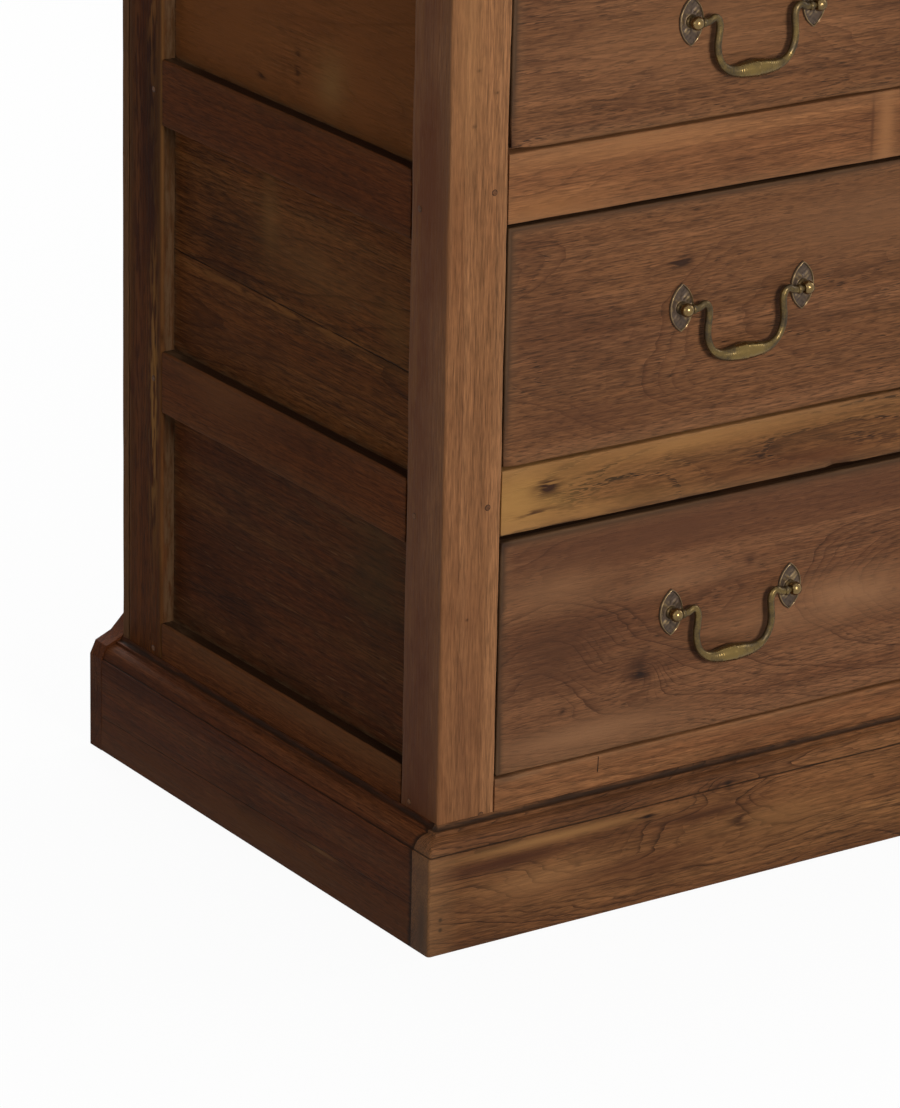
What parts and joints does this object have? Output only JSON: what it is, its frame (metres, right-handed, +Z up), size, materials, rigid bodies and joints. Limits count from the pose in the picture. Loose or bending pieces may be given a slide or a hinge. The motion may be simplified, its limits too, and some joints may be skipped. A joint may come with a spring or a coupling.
{
  "type": "sideboard",
  "caption": "Low wooden chest of long drawers: pegged post and rail carcass with side panels on a moulded skirting, dovetailed drawers with swan-neck drop handles.",
  "frame": {"origin": "middle of the floor area, on the floor", "axes": "+X along the front to the right, -Y out of the front, +Z up"},
  "size_m": [1.205, 0.488, 0.8164],
  "materials": {
    "teak_orange": "satin, old wax",
    "teak_brown": "satin, old wax",
    "teak_dark": "satin, old wax",
    "plain_wood": "matt, unfinished",
    "brass": "rubbed bright on the high places",
    "dark_brass": "tarnished, bright rim"
  },
  "bodies": {
    "carcass": {"post_front_left": "teak_orange", "post_rear_left": "teak_dark", "post_front_right": "teak_orange", "post_rear_right": "teak_dark", "side_rail_left_top": "teak_dark", "side_rail_left_upper": "teak_dark", "side_rail_left_lower": "teak_dark", "side_rail_left_bottom": "teak_dark", "side_panel_left_top": "teak_dark", "side_panel_left_middle": "teak_dark", "side_panel_left_bottom": "teak_dark", "side_rail_right_top": "teak_dark", "side_rail_right_upper": "teak_dark", "side_rail_right_lower": "teak_dark", "side_rail_right_bottom": "teak_dark", "side_panel_right_top": "teak_dark", "side_panel_right_middle": "teak_dark", "side_panel_right_bottom": "teak_dark", "front_rail_top": "teak_orange", "front_rail_upper": "teak_orange", "front_rail_lower": "teak_orange", "front_rail_bottom": "teak_orange", "rear_rail_top": "plain_wood", "rear_rail_bottom": "plain_wood", "back_boards": "plain_wood", "top_board": "teak_brown", "skirting_front": "teak_brown", "skirting_left": "teak_brown", "skirting_right": "teak_brown", "skirting_back": "teak_brown", "drawer_runners": "plain_wood", "drawer_stops": "plain_wood", "rail_pegs": "teak_dark"},
    "drawer_1": {"drawer_1_front": "teak_brown", "drawer_1_side_left": "plain_wood", "drawer_1_side_right": "plain_wood", "drawer_1_back": "plain_wood", "drawer_1_bottom": "plain_wood", "drawer_1_backplates": "dark_brass", "drawer_1_handle_posts": "brass"},
    "drawer_2": {"drawer_2_front": "teak_brown", "drawer_2_side_left": "plain_wood", "drawer_2_side_right": "plain_wood", "drawer_2_back": "plain_wood", "drawer_2_bottom": "plain_wood", "drawer_2_backplates": "dark_brass", "drawer_2_handle_posts": "brass"},
    "drawer_3": {"drawer_3_front": "teak_brown", "drawer_3_side_left": "plain_wood", "drawer_3_side_right": "plain_wood", "drawer_3_back": "plain_wood", "drawer_3_bottom": "plain_wood", "drawer_3_backplates": "dark_brass", "drawer_3_handle_posts": "brass"},
    "drawer_1_bail_left": {"drawer_1_bail_left": "brass"},
    "drawer_1_bail_right": {"drawer_1_bail_right": "brass"},
    "drawer_2_bail_left": {"drawer_2_bail_left": "brass"},
    "drawer_2_bail_right": {"drawer_2_bail_right": "brass"},
    "drawer_3_bail_left": {"drawer_3_bail_left": "brass"},
    "drawer_3_bail_right": {"drawer_3_bail_right": "brass"}
  },
  "joints": [
    {"name": "drawer_1_slide", "type": "slide", "parent": "carcass", "child": "drawer_1", "axis": [0, -1, 0], "range_m": [0, 0.32]},
    {"name": "drawer_2_slide", "type": "slide", "parent": "carcass", "child": "drawer_2", "axis": [0, -1, 0], "range_m": [0, 0.32]},
    {"name": "drawer_3_slide", "type": "slide", "parent": "carcass", "child": "drawer_3", "axis": [0, -1, 0], "range_m": [0, 0.32]},
    {"name": "drawer_1_bail_left_hinge", "type": "hinge", "parent": "drawer_1", "child": "drawer_1_bail_left", "pos_m": [-0.3227, -0.23, 0.67153], "axis": [-1, 0, 0], "range_deg": [-2, 180]},
    {"name": "drawer_1_bail_right_hinge", "type": "hinge", "parent": "drawer_1", "child": "drawer_1_bail_right", "pos_m": [0.3203, -0.23, 0.67153], "axis": [-1, 0, 0], "range_deg": [-2, 180]},
    {"name": "drawer_2_bail_left_hinge", "type": "hinge", "parent": "drawer_2", "child": "drawer_2_bail_left", "pos_m": [-0.3227, -0.23, 0.4569], "axis": [-1, 0, 0], "range_deg": [-2, 180]},
    {"name": "drawer_2_bail_right_hinge", "type": "hinge", "parent": "drawer_2", "child": "drawer_2_bail_right", "pos_m": [0.3203, -0.23, 0.4569], "axis": [-1, 0, 0], "range_deg": [-2, 180]},
    {"name": "drawer_3_bail_left_hinge", "type": "hinge", "parent": "drawer_3", "child": "drawer_3_bail_left", "pos_m": [-0.3227, -0.23, 0.21995], "axis": [-1, 0, 0], "range_deg": [-2, 180]},
    {"name": "drawer_3_bail_right_hinge", "type": "hinge", "parent": "drawer_3", "child": "drawer_3_bail_right", "pos_m": [0.3203, -0.23, 0.21995], "axis": [-1, 0, 0], "range_deg": [-2, 180]}
  ]
}
